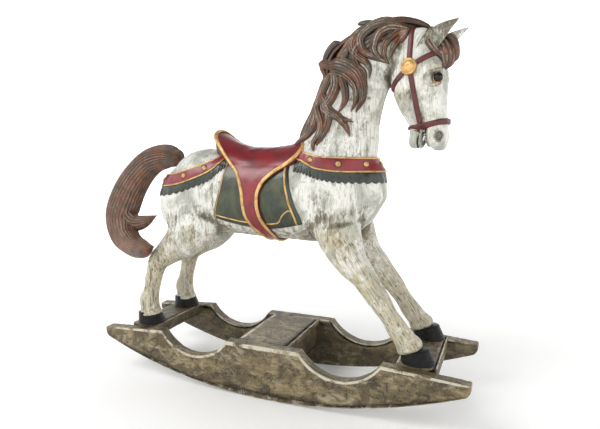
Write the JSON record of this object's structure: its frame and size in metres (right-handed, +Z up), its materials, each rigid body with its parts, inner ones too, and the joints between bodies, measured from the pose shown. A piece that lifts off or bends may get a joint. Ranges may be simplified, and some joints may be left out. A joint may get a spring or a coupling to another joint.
{
  "type": "rocking horse",
  "caption": "Carved and painted rocking horse with saddle, bridle and bands, standing on a curved rocker base joined by cross boards.",
  "frame": {"origin": "on the floor at the middle of the overall length and width, standing upright at rest", "axes": "+X towards the horse's nose, +Y towards the horse's left side, +Z up"},
  "size_m": [0.492, 0.13, 0.4306],
  "materials": {
    "coat_paint": "off-white paint with a grey-brown antique wash, satin",
    "hair_paint": "reddish brown paint with dark recesses, satin",
    "base_wood": "weathered olive-brown stain, rubbed pale at the edges",
    "hoof_black": "glossy black paint",
    "red_paint": "deep red paint, semi-gloss",
    "green_paint": "dark green paint, semi-gloss",
    "gold_paint": "gold paint, satin",
    "bridle_paint": "dark maroon paint, satin",
    "eye_glass": "glossy black",
    "tooth_paint": "cream paint",
    "steel": "plain steel"
  },
  "bodies": {
    "root": {"rear_cross_board": "base_wood", "front_cross_board": "base_wood", "centre_platform": "base_wood", "centre_front_rail": "base_wood", "centre_rear_rail": "base_wood", "runner_right": "base_wood", "runner_left": "base_wood", "front_leg_right": "coat_paint", "front_hoof_right": "hoof_black", "front_hoof_screw_right": "steel", "front_leg_left": "coat_paint", "front_hoof_left": "hoof_black", "front_hoof_screw_left": "steel", "rear_leg_right": "coat_paint", "rear_hoof_right": "hoof_black", "rear_hoof_screw_right": "steel", "rear_leg_left": "coat_paint", "rear_hoof_left": "hoof_black", "rear_hoof_screw_left": "steel", "torso": "coat_paint", "neck": "coat_paint", "head": "coat_paint", "eye_right": "eye_glass", "eye_left": "eye_glass", "ear_right": "coat_paint", "ear_left": "coat_paint", "teeth": "tooth_paint", "tail": "hair_paint", "saddle_blanket": "green_paint", "saddle": "red_paint", "girth": "red_paint", "breast_band": "red_paint", "breast_fringe": "green_paint", "breast_stud_1": "gold_paint", "breast_stud_2": "gold_paint", "breast_stud_3": "gold_paint", "breast_stud_4": "gold_paint", "breast_stud_5": "gold_paint", "breast_stud_6": "gold_paint", "breast_stud_7": "gold_paint", "rear_band": "red_paint", "rear_fringe": "green_paint", "rear_stud_1": "gold_paint", "rear_stud_2": "gold_paint", "rear_stud_3": "gold_paint", "rear_stud_4": "gold_paint", "rear_stud_5": "gold_paint", "rear_stud_6": "gold_paint", "mane": "hair_paint", "noseband": "bridle_paint", "rosette_right": "gold_paint", "rosette_left": "gold_paint", "crownpiece": "bridle_paint", "browband": "bridle_paint", "forelock": "hair_paint", "cheek_strap_right": "bridle_paint", "throat_strap_right": "bridle_paint", "cheek_strap_left": "bridle_paint", "throat_strap_left": "bridle_paint"}
  },
  "joints": []
}
